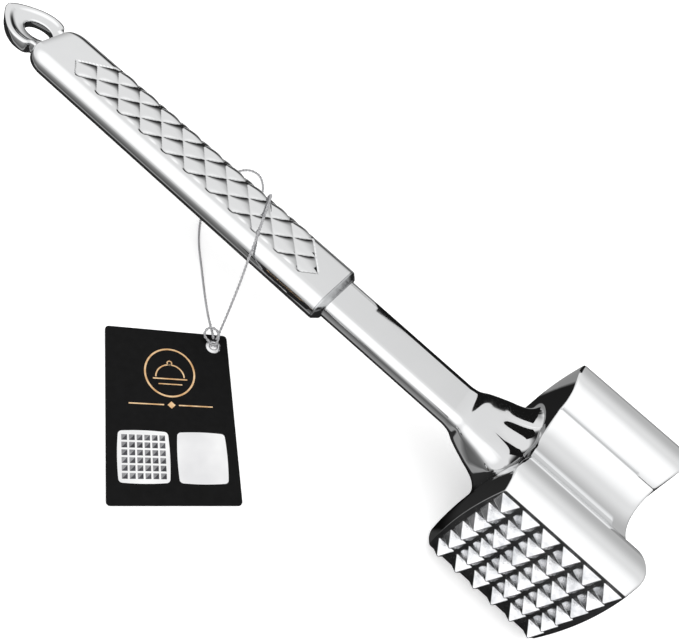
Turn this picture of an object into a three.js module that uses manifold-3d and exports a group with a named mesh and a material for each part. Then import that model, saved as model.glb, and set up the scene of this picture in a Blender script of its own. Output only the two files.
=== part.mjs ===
// Meat mallet: a chromed striking head with a pyramid face and a plain face, cast in one with its
// neck and shank, and a hollow pressed grip that is clamped onto the shank by a threaded rod.
// A hanging loop closes the tail and a card tag is tied round the grip with a thin cord.
//
// Units are millimetres. While it is built, the mallet lies along X with the middle of its head at
// the origin, the head end towards +X, the pyramid face towards -Y and the patterned side of the
// grip up (+Z). The last lines move it so that the origin is the middle of its base.
import * as THREE from 'three';
import { mergeVertices } from 'three/addons/utils/BufferGeometryUtils.js';
import Module from 'manifold-3d';

const wasm = await Module();
wasm.setup();

// ---- Driving dimensions ------------------------------------------------------------------------

const GAP = 0.3;                      // clearance between pieces that touch

// Head. Stations across the head, along Y, from the pyramid face to the plain face.
const PYRAMID_FACE_Y = -31.1;
const PLAIN_FACE_Y = 29.0;
const BLOCK_MID_Y = { pyramid: -23.3, plain: 21.4 };
const SIDE_ARC_Z = 13.6;              // centre height of the arc that rounds each block's side
const SIDE_ARC_RADIUS = 10.9;
const CREASE_OFFSET = 10.3;           // from a block's middle to the crease beside the waist
const WAIST_HALF_WIDTH = 12.3;
const HEAD_HALF_WIDTH = SIDE_ARC_Z + SIDE_ARC_RADIUS;
const END_CROWN = 1.5;                // how far each end of the head bows out along X
const HEAD_HALF_LENGTHS = [           // [station Y, half length along X]
  [PYRAMID_FACE_Y, 20.6], [-23.5, 21.8], [-13.0, 18.8], [-1.0, 17.5],
  [11.1, 18.2], [21.5, 20.9], [PLAIN_FACE_Y, 20.0],
];

// Pyramids on the striking face.
const PYRAMID_ROWS = 6;
const PYRAMID_PITCH = 7.0;
const PYRAMID_BASE = { x: 6.2, z: 5.2 };
const PYRAMID_HEIGHT = 3.5;

// Neck and shank: [X, half width along Y, half thickness along Z, corner radius].
const SHANK_END_X = -100.0;
const NECK_SECTIONS = [
  [SHANK_END_X, 8.2, 3.8, 2.9], [-41.5, 8.2, 3.8, 2.9], [-38.5, 8.7, 4.2, 3.1],
  [-36.0, 10.0, 4.9, 3.3], [-33.0, 11.2, 5.6, 3.5], [-29.0, 12.6, 6.6, 4.0],
  [-25.5, 14.6, 8.0, 4.6], [-22.5, 17.4, 10.0, 5.4], [-19.5, 20.0, 11.6, 6.0],
  [-15.0, 20.0, 11.6, 6.0],
];

// Grip: the mouth is its front end, where the shank goes in.
const MOUTH_X = -93.8;
const TAIL_X = -217.5;
const GRIP_MOUTH = { halfWidth: 11.5, halfThickness: 5.0 };
const GRIP_TAIL = { halfWidth: 10.9, halfThickness: 4.7 };
const GRIP_CORNER = 4.4;
const SHELL_WALL = 0.8;
const TAIL_ROUNDING = 6.0;            // length over which the tail closes in
const TAIL_END_SCALE = 0.72;          // size of the tail's flat end against the full section
const QUILT = { start: -200.5, cells: 11, pitch: 9.54, rows: [-1.7, 3.2], rise: 0.6, width: 4.7 };

// Collar that closes the mouth round the shank.
const COLLAR_LENGTH = 2.4;
const COLLAR_NOSE = { halfWidth: 9.2, halfThickness: 4.5 };
const COLLAR_SPIGOT = 5.0;

// Threaded rod, spacers and lock nut inside the grip.
const ROD_RADIUS = 2.0;
const ROD_FRONT_X = -86.0;
const ROD_REAR_X = -213.5;
const SPACER_LENGTH = 9.0;
const REAR_SPACER_X = -194.0;
const NUT = { acrossFlats: 7.0, thickness: 3.2 };

// Hanging loop: half of its outline, from the shoulder by the grip to the tip.
const LOOP_HALF_OUTLINE = [
  [-219.6, 6.9], [-221.0, 8.9], [-225.0, 9.0], [-229.5, 7.7], [-233.5, 5.0], [-236.3, 2.2],
];
const LOOP_TIP_X = -237.5;
const LOOP_THICKNESS = 4.8;
const LOOP_NECK_HALF_WIDTH = 6.6;
const LOOP_FOOT = { halfWidth: 6.0, front: -207.0, halfThickness: 2.1 };
const EYE = { middleX: -223.4, halfLength: 5.2, halfWidth: 3.6 };

// Tag: a card that lies on the surface beside the grip, turned about its eyelet.
const CARD = { width: 38.0, height: 57.0, thickness: 0.6, corner: 1.2 };
const EYELET = { x: -110.5, y: -28.6, fromTop: 4.5, fromSide: 4.7 };
const EYELET_RADII = { hole: 1.2, barrel: 1.7, flange: 2.5 };
const EYELET_HEIGHT = 1.2;
const FLANGE_THICKNESS = 0.3;
const TAG_TURN = THREE.MathUtils.degToRad(45.5);

// Cord: the route of its centre line, [X, Y, height above the surface].
const CORD_RADIUS = 0.45;
const CORD_STEPS = 80;
const KNOT = { radius: 1.1, height: 2.65 };
const CORD_ROUTE = [
  [-111.15, -27.2, 2.6], [-112.3, -24.6, 4.4], [-114.2, -20.8, 10.5], [-116.6, -16.6, 18.6],
  [-118.8, -13.3, 25.6], [-120.4, -10.4, 29.7], [-122.2, -6.6, 30.9], [-124.6, -1.5, 31.1],
  [-127.1, 4.0, 31.1], [-129.3, 8.8, 30.4], [-131.1, 12.6, 27.0], [-132.9, 16.4, 21.0],
  [-135.3, 21.6, 13.4], [-138.3, 28.0, 6.2], [-141.6, 34.6, 1.7], [-145.2, 40.4, 0.6],
  [-149.6, 43.4, 0.6], [-153.6, 41.8, 0.6], [-155.6, 36.4, 0.6], [-154.9, 28.0, 0.6],
  [-152.4, 17.6, 0.6], [-148.2, 8.0, 0.6], [-141.6, -0.6, 0.6], [-133.2, -8.6, 0.6],
  [-124.8, -16.4, 0.7], [-118.8, -21.8, 1.3], [-114.8, -25.2, 2.2], [-112.0, -27.7, 2.75],
];

// ---- Shape helpers -----------------------------------------------------------------------------

const steel = (name, color, roughness) => (
  new THREE.MeshStandardMaterial({ name, color, roughness, metalness: 1.0 })
);
const matter = (name, color, roughness) => (
  new THREE.MeshStandardMaterial({ name, color, roughness, metalness: 0.0 })
);

// A closed solid from any closed geometry, with shared corners merged and empty faces dropped.
function solidOf(geometry) {
  const bare = new THREE.BufferGeometry();
  bare.setAttribute('position', geometry.getAttribute('position').clone());
  if (geometry.index) bare.setIndex(geometry.index.clone());
  const merged = mergeVertices(bare, 1e-4);
  const triVerts = [];
  for (let i = 0; i < merged.index.count; i += 3) {
    const [a, b, c] = [0, 1, 2].map((k) => merged.index.getX(i + k));
    if (a !== b && b !== c && c !== a) triVerts.push(a, b, c);
  }
  return new wasm.Manifold(new wasm.Mesh({
    numProp: 3,
    vertProperties: new Float32Array(merged.getAttribute('position').array),
    triVerts: new Uint32Array(triVerts),
  }));
}

function geometryOf(solid) {
  const mesh = solid.getMesh();
  const indexed = new THREE.BufferGeometry();
  indexed.setAttribute('position', new THREE.BufferAttribute(new Float32Array(mesh.vertProperties), 3));
  indexed.setIndex(new THREE.BufferAttribute(new Uint32Array(mesh.triVerts), 1));
  const geometry = indexed.toNonIndexed();
  geometry.computeVertexNormals();
  return geometry;
}

// A skin through rings of equal point count, closed by a flat fan at each end.
function loft(rings) {
  const count = rings[0].length;
  const positions = [];
  for (const ring of rings) {
    for (const point of ring) positions.push(point.x, point.y, point.z);
  }
  const index = [];
  for (let ring = 0; ring < rings.length - 1; ring += 1) {
    for (let i = 0; i < count; i += 1) {
      const a = ring * count + i;
      const b = ring * count + ((i + 1) % count);
      index.push(a, b, a + count, b, b + count, a + count);
    }
  }
  for (const [ring, flip] of [[0, true], [rings.length - 1, false]]) {
    const middle = new THREE.Vector3();
    for (const point of rings[ring]) middle.addScaledVector(point, 1 / count);
    const hub = positions.length / 3;
    positions.push(middle.x, middle.y, middle.z);
    for (let i = 0; i < count; i += 1) {
      const a = ring * count + i;
      const b = ring * count + ((i + 1) % count);
      index.push(...(flip ? [hub, b, a] : [hub, a, b]));
    }
  }
  const geometry = new THREE.BufferGeometry();
  geometry.setAttribute('position', new THREE.Float32BufferAttribute(positions, 3));
  geometry.setIndex(index);
  return geometry;
}

// A rounded rectangle across X, as a ring that turns from +Y to +Z.
function roundedRing(x, halfWidth, halfThickness, corner, steps = 4) {
  const ring = [];
  const corners = [[1, 1], [-1, 1], [-1, -1], [1, -1]];
  corners.forEach(([signY, signZ], quarter) => {
    for (let i = 0; i <= steps; i += 1) {
      const angle = (quarter + i / steps) * Math.PI / 2;
      ring.push(new THREE.Vector3(
        x,
        signY * (halfWidth - corner) + corner * Math.cos(angle),
        signZ * (halfThickness - corner) + corner * Math.sin(angle),
      ));
    }
  });
  return ring;
}

function boxSolid(low, high) {
  const size = high.map((value, axis) => value - low[axis]);
  const geometry = new THREE.BoxGeometry(...size);
  geometry.translate(...low.map((value, axis) => value + size[axis] / 2));
  return solidOf(geometry);
}

// A round bar or hole along X.
function barSolid(fromX, toX, radius, sides = 16) {
  const geometry = new THREE.CylinderGeometry(radius, radius, toX - fromX, sides);
  geometry.rotateZ(Math.PI / 2);
  geometry.translate((fromX + toX) / 2, 0, 0);
  return solidOf(geometry);
}

const group = new THREE.Group();

function addPiece(name, geometry, material) {
  const mesh = new THREE.Mesh(geometry, material);
  mesh.name = name;
  group.add(mesh);
  return mesh;
}

// ---- Head, neck and shank ----------------------------------------------------------------------

// Half width of the head at a station across it: an arc on each block and a hollow arc between.
function headHalfWidth(y) {
  const crease = {
    pyramid: BLOCK_MID_Y.pyramid + CREASE_OFFSET,
    plain: BLOCK_MID_Y.plain - CREASE_OFFSET,
  };
  if (y > crease.pyramid && y < crease.plain) {
    const middle = (crease.pyramid + crease.plain) / 2;
    const halfChord = (crease.plain - crease.pyramid) / 2;
    const creaseHalfWidth = SIDE_ARC_Z + Math.sqrt(SIDE_ARC_RADIUS ** 2 - CREASE_OFFSET ** 2);
    const depth = creaseHalfWidth - WAIST_HALF_WIDTH;
    const radius = (halfChord ** 2 + depth ** 2) / (2 * depth);
    return WAIST_HALF_WIDTH + radius - Math.sqrt(radius ** 2 - (y - middle) ** 2);
  }
  const offset = y - (y < 0 ? BLOCK_MID_Y.pyramid : BLOCK_MID_Y.plain);
  return SIDE_ARC_Z + Math.sqrt(SIDE_ARC_RADIUS ** 2 - offset ** 2);
}

const halfLengthCurve = new THREE.SplineCurve(
  HEAD_HALF_LENGTHS.map(([y, halfLength]) => new THREE.Vector2(y, halfLength)),
);

// The head's outline at one station: straight sides and two ends that bow out.
function headRing(y, halfLength) {
  const halfWidth = headHalfWidth(y);
  const endSteps = 8;
  const ring = [];
  for (const end of [1, -1]) {
    for (let i = 0; i <= endSteps; i += 1) {
      const across = end * (2 * i / endSteps - 1);
      const x = end * (halfLength + END_CROWN * (1 - across ** 2));
      ring.push(new THREE.Vector3(x, y, across * halfWidth));
    }
  }
  return ring.reverse();
}

function makeHead() {
  const stations = halfLengthCurve.getPoints(30);
  const creases = [BLOCK_MID_Y.pyramid + CREASE_OFFSET, BLOCK_MID_Y.plain - CREASE_OFFSET];
  for (const crease of creases) {
    const nearest = stations.reduce((best, point) => (
      Math.abs(point.x - crease) < Math.abs(best.x - crease) ? point : best
    ));
    nearest.x = crease;
  }
  const blocks = solidOf(loft(stations.map((point) => headRing(point.x, point.y))));
  const neck = solidOf(loft(NECK_SECTIONS.map((section) => roundedRing(...section))));
  let head = blocks.add(neck);

  const middle = (PYRAMID_ROWS - 1) / 2;
  const sink = 0.4;
  for (let row = 0; row < PYRAMID_ROWS; row += 1) {
    for (let column = 0; column < PYRAMID_ROWS; column += 1) {
      const pyramid = new THREE.ConeGeometry(Math.SQRT1_2, PYRAMID_HEIGHT + sink, 4);
      pyramid.rotateY(Math.PI / 4);
      pyramid.rotateX(Math.PI);
      pyramid.scale(PYRAMID_BASE.x, 1, PYRAMID_BASE.z);
      pyramid.translate(
        (column - middle) * PYRAMID_PITCH,
        PYRAMID_FACE_Y + sink - (PYRAMID_HEIGHT + sink) / 2,
        (row - middle) * PYRAMID_PITCH,
      );
      head = head.add(solidOf(pyramid));
    }
  }
  const rodHole = barSolid(SHANK_END_X - 1, ROD_FRONT_X + 1, ROD_RADIUS + GAP);
  return geometryOf(head.subtract(rodHole));
}

// ---- Grip --------------------------------------------------------------------------------------

// The grip's section at a place along it, drawn in by an inset for the inside of the shell.
function gripRing(x, inset = 0) {
  const share = (MOUTH_X - x) / (MOUTH_X - TAIL_X);
  const intoTail = Math.max(0, (TAIL_X + TAIL_ROUNDING - x) / TAIL_ROUNDING);
  const closing = 1 - (1 - TAIL_END_SCALE) * (1 - Math.sqrt(Math.max(0, 1 - intoTail ** 2)));
  const halfWidth = closing * THREE.MathUtils.lerp(GRIP_MOUTH.halfWidth, GRIP_TAIL.halfWidth, share);
  const halfThickness = closing
    * THREE.MathUtils.lerp(GRIP_MOUTH.halfThickness, GRIP_TAIL.halfThickness, share);
  return roundedRing(x, halfWidth - inset, halfThickness - inset, closing * GRIP_CORNER - inset);
}

function gripBody(fromX, toX, inset) {
  const rings = [];
  for (const part of [0, 0.25, 0.5, 0.75, 1]) {
    const x = THREE.MathUtils.lerp(TAIL_X, TAIL_X + TAIL_ROUNDING, part);
    if (x > fromX && x < toX) rings.push(gripRing(x, inset));
  }
  return solidOf(loft([gripRing(fromX, inset), ...rings, gripRing(toX, inset)]));
}

// Low four-sided swells in a staggered pattern along one broad side of the grip.
function quiltSwells(side) {
  const swells = [];
  QUILT.rows.forEach((y, row) => {
    const shift = row % 2 === 0 ? 0 : QUILT.pitch / 2;
    for (let cell = 0; cell < QUILT.cells - row; cell += 1) {
      const swell = new THREE.ConeGeometry(0.5, QUILT.rise + 0.5, 4);
      swell.rotateX(side * Math.PI / 2);
      swell.scale(QUILT.pitch, QUILT.width * 2, 1);
      const x = QUILT.start + shift + cell * QUILT.pitch;
      const share = (MOUTH_X - x) / (MOUTH_X - TAIL_X);
      const top = THREE.MathUtils.lerp(GRIP_MOUTH.halfThickness, GRIP_TAIL.halfThickness, share);
      swell.translate(x, y, side * (top - 0.25 + QUILT.rise / 2));
      swells.push(solidOf(swell));
    }
  });
  return swells;
}

function makeShell(side) {
  const frontX = MOUTH_X - GAP;
  const outer = gripBody(TAIL_X, frontX, 0);
  const hollow = gripBody(TAIL_X + SHELL_WALL, frontX + 1, SHELL_WALL);
  const reach = 20;
  const half = side > 0
    ? boxSolid([TAIL_X - 1, -reach, GAP / 2], [frontX + 1, reach, reach])
    : boxSolid([TAIL_X - 1, -reach, -reach], [frontX + 1, reach, -GAP / 2]);
  const footSlot = boxSolid(
    [TAIL_X - 1, -LOOP_FOOT.halfWidth - GAP, -LOOP_FOOT.halfThickness - GAP],
    [TAIL_X + 2, LOOP_FOOT.halfWidth + GAP, LOOP_FOOT.halfThickness + GAP],
  );
  let shell = outer;
  for (const swell of quiltSwells(side)) shell = shell.add(swell);
  return geometryOf(shell.subtract(hollow).intersect(half).subtract(footSlot));
}

function makeCollar() {
  const mouth = [GRIP_MOUTH.halfWidth, GRIP_MOUTH.halfThickness, GRIP_CORNER];
  const nose = [COLLAR_NOSE.halfWidth, COLLAR_NOSE.halfThickness, GRIP_CORNER];
  const bevel = solidOf(loft([
    roundedRing(MOUTH_X, ...mouth),
    roundedRing(MOUTH_X + 0.6, ...mouth),
    roundedRing(MOUTH_X + COLLAR_LENGTH, ...nose),
  ]));
  const spigot = gripBody(MOUTH_X - COLLAR_SPIGOT, MOUTH_X + 0.5, SHELL_WALL + GAP);
  const [, halfWidth, halfThickness, corner] = NECK_SECTIONS[0];
  const shank = [halfWidth + GAP, halfThickness + GAP, corner + GAP];
  const bore = solidOf(loft([
    roundedRing(MOUTH_X - COLLAR_SPIGOT - 1, ...shank),
    roundedRing(MOUTH_X + COLLAR_LENGTH + 1, ...shank),
  ]));
  return geometryOf(bevel.add(spigot).subtract(bore));
}

function makeSpacer(rearX) {
  const block = gripBody(rearX, rearX + SPACER_LENGTH, SHELL_WALL + GAP);
  return geometryOf(block.subtract(barSolid(rearX - 1, rearX + SPACER_LENGTH + 1, ROD_RADIUS + GAP)));
}

function makeNut(frontX) {
  const nut = new THREE.CylinderGeometry(
    NUT.acrossFlats / Math.sqrt(3), NUT.acrossFlats / Math.sqrt(3), NUT.thickness, 6,
  );
  nut.rotateY(Math.PI / 6);
  nut.rotateZ(Math.PI / 2);
  nut.translate(frontX - NUT.thickness / 2, 0, 0);
  return geometryOf(solidOf(nut).subtract(barSolid(frontX - 5, frontX + 1, ROD_RADIUS + GAP)));
}

function makeLoop() {
  const outline = new THREE.Shape();
  const startX = TAIL_X - GAP;
  outline.moveTo(startX, -LOOP_NECK_HALF_WIDTH);
  outline.lineTo(startX, LOOP_NECK_HALF_WIDTH);
  const farSide = LOOP_HALF_OUTLINE.map(([x, y]) => new THREE.Vector2(x, y));
  const nearSide = farSide.map((point) => new THREE.Vector2(point.x, -point.y)).reverse();
  outline.lineTo(farSide[0].x, farSide[0].y);
  outline.splineThru([...farSide.slice(1), new THREE.Vector2(LOOP_TIP_X, 0), ...nearSide]);
  const plate = new THREE.ExtrudeGeometry(outline, {
    depth: LOOP_THICKNESS, bevelEnabled: false, curveSegments: 5,
  });
  plate.translate(0, 0, -LOOP_THICKNESS / 2);
  const eye = new THREE.CylinderGeometry(1, 1, LOOP_THICKNESS + 2, 24);
  eye.rotateX(Math.PI / 2);
  eye.scale(EYE.halfLength, EYE.halfWidth, 1);
  eye.translate(EYE.middleX, 0, 0);
  const foot = boxSolid(
    [TAIL_X - 1.2, -LOOP_FOOT.halfWidth, -LOOP_FOOT.halfThickness],
    [LOOP_FOOT.front, LOOP_FOOT.halfWidth, LOOP_FOOT.halfThickness],
  );
  const rodHole = barSolid(ROD_REAR_X - 0.5, LOOP_FOOT.front + 1, ROD_RADIUS + GAP);
  return geometryOf(solidOf(plate).add(foot).subtract(solidOf(eye)).subtract(rodHole));
}

// ---- Tag and cord ------------------------------------------------------------------------------

const surfaceZ = -HEAD_HALF_WIDTH;

// The tag is drawn with its eyelet at the origin and its top edge towards +Y.
function makeCard() {
  const right = EYELET.fromSide;
  const left = right - CARD.width;
  const top = EYELET.fromTop;
  const bottom = top - CARD.height;
  const round = CARD.corner;
  const outline = new THREE.Shape();
  outline.moveTo(left + round, bottom);
  outline.lineTo(right - round, bottom);
  outline.absarc(right - round, bottom + round, round, -Math.PI / 2, 0);
  outline.absarc(right - round, top - round, round, 0, Math.PI / 2);
  outline.absarc(left + round, top - round, round, Math.PI / 2, Math.PI);
  outline.absarc(left + round, bottom + round, round, Math.PI, 1.5 * Math.PI);
  const hole = new THREE.Path();
  hole.absarc(0, 0, EYELET_RADII.barrel + GAP, 0, 2 * Math.PI);
  outline.holes.push(hole);
  return new THREE.ExtrudeGeometry(outline, {
    depth: CARD.thickness, bevelEnabled: false, curveSegments: 6,
  });
}

function makeEyelet() {
  const { hole, barrel, flange } = EYELET_RADII;
  const flangeZ = EYELET_HEIGHT - FLANGE_THICKNESS;
  const profile = [
    [hole, 0.1], [barrel, 0.1], [barrel, flangeZ], [flange, flangeZ],
    [flange, EYELET_HEIGHT], [hole, EYELET_HEIGHT], [hole, 0.1],
  ].map(([radius, height]) => new THREE.Vector2(radius, height));
  const geometry = new THREE.LatheGeometry(profile, 24);
  geometry.rotateX(Math.PI / 2);
  return geometryOf(solidOf(geometry));
}

function makeCord() {
  const section = new THREE.Shape();
  section.absarc(0, 0, CORD_RADIUS, 0, 2 * Math.PI);
  const route = new THREE.CatmullRomCurve3(
    CORD_ROUTE.map(([x, y, height]) => new THREE.Vector3(x, y, surfaceZ + height)),
  );
  return new THREE.ExtrudeGeometry(section, {
    extrudePath: route, steps: CORD_STEPS, curveSegments: 8, bevelEnabled: false,
  });
}

function makeKnot() {
  return geometryOf(solidOf(new THREE.SphereGeometry(KNOT.radius, 12, 8)));
}

// ---- The assembly ------------------------------------------------------------------------------

const chrome = () => steel('chrome', 0xd9dadc, 0.08);
const zinc = () => steel('zinc_steel', 0xb8bbbe, 0.35);
const plastic = () => matter('grey_plastic', 0x55585c, 0.6);
const fibre = () => matter('cord_fibre', 0x9a9b9d, 0.6);

const frontSpacerX = SHANK_END_X - GAP - SPACER_LENGTH;
const rearSpacerX = REAR_SPACER_X - SPACER_LENGTH;

addPiece('head_casting', makeHead(), chrome());
addPiece('front_collar', makeCollar(), steel('satin_steel', 0xa7a9ac, 0.3));
addPiece('grip_shell_upper', makeShell(1), chrome());
addPiece('grip_shell_lower', makeShell(-1), chrome());
addPiece('front_spacer', makeSpacer(frontSpacerX), plastic());
addPiece('rear_spacer', makeSpacer(rearSpacerX), plastic());
addPiece('tang_rod', geometryOf(barSolid(ROD_REAR_X, ROD_FRONT_X, ROD_RADIUS)), zinc());
addPiece('lock_nut', makeNut(rearSpacerX - GAP), zinc());
addPiece('hanging_loop', makeLoop(), chrome());

const card = addPiece('tag_card', makeCard(), matter('black_card', 0x0b0b0c, 0.35));
const eyelet = addPiece('tag_eyelet', makeEyelet(), steel('eyelet_steel', 0xc9cbce, 0.2));
for (const piece of [card, eyelet]) {
  piece.position.set(EYELET.x, EYELET.y, surfaceZ);
  piece.rotation.z = TAG_TURN;
}
addPiece('tag_cord', makeCord(), fibre());
const knot = addPiece('cord_knot', makeKnot(), fibre());
knot.position.set(EYELET.x, EYELET.y, surfaceZ + KNOT.height);

// The origin is the middle of the mallet's base, under its widest points.
const pointsY = PYRAMID_FACE_Y - PYRAMID_HEIGHT;
const headEndX = Math.max(...halfLengthCurve.getPoints(30).map((point) => point.y)) + END_CROWN;
group.position.set(-(LOOP_TIP_X + headEndX) / 2, -(pointsY + PLAIN_FACE_Y) / 2, HEAD_HALF_WIDTH);

export default group;
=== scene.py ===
"""Meat mallet: the looks around its CAD frame.

Lengths are in millimetres while a piece is drawn. A piece is drawn round the middle of the head,
with the head end towards +X, the pyramid face towards -Y and the patterned side of the grip up.
to_row() turns such a point into metres in the row frame.
"""
import math

import bmesh
import bpy
import numpy as np
from mathutils import Matrix, Quaternion, Vector
from mathutils.geometry import delaunay_2d_cdt


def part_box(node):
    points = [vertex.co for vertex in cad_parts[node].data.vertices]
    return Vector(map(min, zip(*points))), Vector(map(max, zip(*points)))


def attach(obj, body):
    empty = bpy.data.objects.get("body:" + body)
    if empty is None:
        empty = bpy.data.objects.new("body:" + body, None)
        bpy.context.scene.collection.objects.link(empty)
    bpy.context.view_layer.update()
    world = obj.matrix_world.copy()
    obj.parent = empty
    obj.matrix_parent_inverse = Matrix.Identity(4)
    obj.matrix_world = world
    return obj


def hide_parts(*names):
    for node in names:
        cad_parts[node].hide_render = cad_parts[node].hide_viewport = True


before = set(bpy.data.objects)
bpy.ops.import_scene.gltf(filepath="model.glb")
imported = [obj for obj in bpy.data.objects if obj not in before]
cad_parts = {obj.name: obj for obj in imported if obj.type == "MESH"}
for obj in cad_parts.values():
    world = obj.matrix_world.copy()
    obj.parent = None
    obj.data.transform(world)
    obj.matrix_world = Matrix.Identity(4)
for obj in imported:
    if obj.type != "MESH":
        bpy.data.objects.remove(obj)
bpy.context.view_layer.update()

MM = 0.001

# ---- Driving dimensions ------------------------------------------------------------------------

# They follow the CAD model. The pyramids' grid is a little smaller, to stay inside the face's rim.
PYRAMID_FACE_Y = -31.1
PLAIN_FACE_Y = 29.0
PYRAMID_BLOCK_Y = -23.3
PLAIN_BLOCK_Y = 21.4
SIDE_ARC_Z = 13.6
SIDE_ARC_RADIUS = 10.9
CREASE_OFFSET = 10.3
WAIST_HALF_WIDTH = 12.3
END_CROWN = 1.5
HEAD_HALF_LENGTHS = [
    (PYRAMID_FACE_Y, 20.6), (-23.5, 21.8), (-13.0, 18.8), (-1.0, 17.5),
    (11.1, 18.2), (21.5, 20.9), (PLAIN_FACE_Y, 20.0),
]
PYRAMID_ROWS = 6
PYRAMID_PITCH = 6.95
PYRAMID_BASE = (5.9, 5.0)
PYRAMID_HEIGHT = 3.5

SHANK_END_X = -100.0
# Neck and shank sections: X, half width along Y, half thickness along Z, corner radius
NECK_SECTIONS = [
    (SHANK_END_X, 8.2, 3.8, 2.9), (-44.0, 8.2, 3.8, 2.9), (-41.5, 8.2, 3.8, 2.9),
    (-38.5, 8.7, 4.2, 3.1), (-36.0, 10.0, 4.9, 3.3), (-33.0, 11.2, 5.6, 3.5), (-29.0, 12.6, 6.6, 4.0),
]

MOUTH_X = -93.8
TAIL_X = -217.5
GRIP_MOUTH = (11.5, 5.0)
GRIP_TAIL = (10.9, 4.7)
GRIP_CORNER = 4.4
TAIL_ROUNDING = 6.0
TAIL_END_SCALE = 0.72
QUILT_PITCH = 9.54
QUILT_ROW = 4.9
QUILT_ACROSS = (-6.8, 3.2, 12.6)      # near border, middle row and far border, as arc lengths

LOOP_TIP_X = -237.5
CARD = (38.0, 57.0, 0.6, 1.2)         # width, length, thickness, corner radius
EYELET = (-110.5, -28.6)
EYELET_FROM_EDGES = (4.7, 4.5)
TAG_TURN = math.radians(45.5)
# The cord's route: X, Y, height above the surface
CORD_ROUTE = [
    (-111.15, -27.2, 2.6), (-112.3, -24.6, 4.4), (-114.2, -20.8, 10.5), (-116.6, -16.6, 18.6),
    (-118.8, -13.3, 25.6), (-120.4, -10.4, 29.7), (-122.2, -6.6, 30.9), (-124.6, -1.5, 31.1),
    (-127.1, 4.0, 31.1), (-129.3, 8.8, 30.4), (-131.1, 12.6, 27.0), (-132.9, 16.4, 21.0),
    (-135.3, 21.6, 13.4), (-138.3, 28.0, 6.2), (-141.6, 34.6, 1.7), (-145.2, 40.4, 0.6),
    (-149.6, 43.4, 0.6), (-153.6, 41.8, 0.6), (-155.6, 36.4, 0.6), (-154.9, 28.0, 0.6),
    (-152.4, 17.6, 0.6), (-148.2, 8.0, 0.6), (-141.6, -0.6, 0.6), (-133.2, -8.6, 0.6),
    (-124.8, -16.4, 0.7), (-118.8, -21.8, 1.3), (-114.8, -25.2, 2.2), (-112.0, -27.7, 2.75),
]

HEAD_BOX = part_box("head_casting")
SURFACE_Z = -(HEAD_BOX[1].z - HEAD_BOX[0].z) / 2 / MM
MIDDLE = Vector((
    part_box("hanging_loop")[0].x - LOOP_TIP_X * MM,
    HEAD_BOX[1].y - PLAIN_FACE_Y * MM,
    (HEAD_BOX[0].z + HEAD_BOX[1].z) / 2,
))


def to_row(points):
    """Points in millimetres round the head's middle, as metres in the row frame."""
    return np.asarray(points, float) * MM + np.array(MIDDLE)


# ---- Shape helpers -----------------------------------------------------------------------------

def through(points, steps):
    """A smooth line through points (Catmull-Rom), with this many steps between two of them."""
    rows = np.asarray(points, float)
    ends = np.vstack([2 * rows[0] - rows[1], rows, 2 * rows[-1] - rows[-2]])
    line = []
    for i in range(1, len(ends) - 2):
        a, b, c, d = ends[i - 1:i + 3]
        for t in np.arange(steps) / steps:
            line.append(0.5 * (2 * b + (c - a) * t + (2 * a - 5 * b + 4 * c - d) * t ** 2
                               + (3 * b - a - 3 * c + d) * t ** 3))
    return np.array(line + [ends[-2]])


def new_piece(name, points, faces, smooth=True):
    """A mesh object from points in millimetres, outward faces first."""
    mesh = bpy.data.meshes.new(name)
    mesh.from_pydata(to_row(points).tolist(), [], faces)
    mesh.polygons.foreach_set("use_smooth", [smooth] * len(mesh.polygons))
    mesh.update()
    piece = bpy.data.objects.new(name, mesh)
    bpy.context.scene.collection.objects.link(piece)
    return piece


def tidy_mesh(mesh):
    """Drops points that no face uses and turns every face outwards."""
    work = bmesh.new()
    work.from_mesh(mesh)
    loose = [vert for vert in work.verts if not vert.link_faces]
    bmesh.ops.delete(work, geom=loose, context="VERTS")
    bmesh.ops.recalc_face_normals(work, faces=work.faces)
    work.to_mesh(mesh)
    work.free()


def ring_faces(first, second, closed=True, flip=False):
    """Quads between two rings of point numbers."""
    count = len(first)
    faces = []
    for i in range(count if closed else count - 1):
        j = (i + 1) % count
        quad = (first[i], first[j], second[j], second[i])
        faces.append(quad[::-1] if flip else quad)
    return faces


def rounded_rect(half_width, half_height, corner, angle):
    """Where a ray at this angle from the middle leaves a rounded rectangle."""
    direction = np.array([math.cos(angle), math.sin(angle)])
    ray = np.abs(direction)
    reach = min(
        half_width / max(ray[0], 1e-9),
        half_height / max(ray[1], 1e-9),
    )
    hit = ray * reach
    centre = np.array([half_width - corner, half_height - corner])
    if hit[0] > centre[0] and hit[1] > centre[1]:
        along = ray @ centre
        reach = along + math.sqrt(along ** 2 - centre @ centre + corner ** 2)
    return direction * reach


# ---- Camera ------------------------------------------------------------------------------------

CAMERA_TARGET = Vector((-85.65, -6.47, 0.0))
CAMERA_DISTANCE = 253.5
CAMERA_AZIMUTH = math.radians(97.28)
CAMERA_ELEVATION = math.radians(-47.88)
CAMERA_ROLL = math.radians(36.19)
CAMERA_LENS = 43.44


def make_camera():
    forward = Vector((
        math.cos(CAMERA_ELEVATION) * math.cos(CAMERA_AZIMUTH),
        math.cos(CAMERA_ELEVATION) * math.sin(CAMERA_AZIMUTH),
        math.sin(CAMERA_ELEVATION),
    ))
    camera = bpy.data.objects.new("camera", bpy.data.cameras.new("camera"))
    camera.data.sensor_width = 36.0
    camera.data.lens = CAMERA_LENS
    camera.data.clip_start = 0.01
    camera.location = MIDDLE + (CAMERA_TARGET - CAMERA_DISTANCE * forward) * MM
    level = forward.to_track_quat("-Z", "Y")
    camera.rotation_mode = "QUATERNION"
    camera.rotation_quaternion = Quaternion(forward, -CAMERA_ROLL) @ level
    bpy.context.scene.collection.objects.link(camera)
    bpy.context.scene.camera = camera


# ---- Materials ---------------------------------------------------------------------------------

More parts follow.
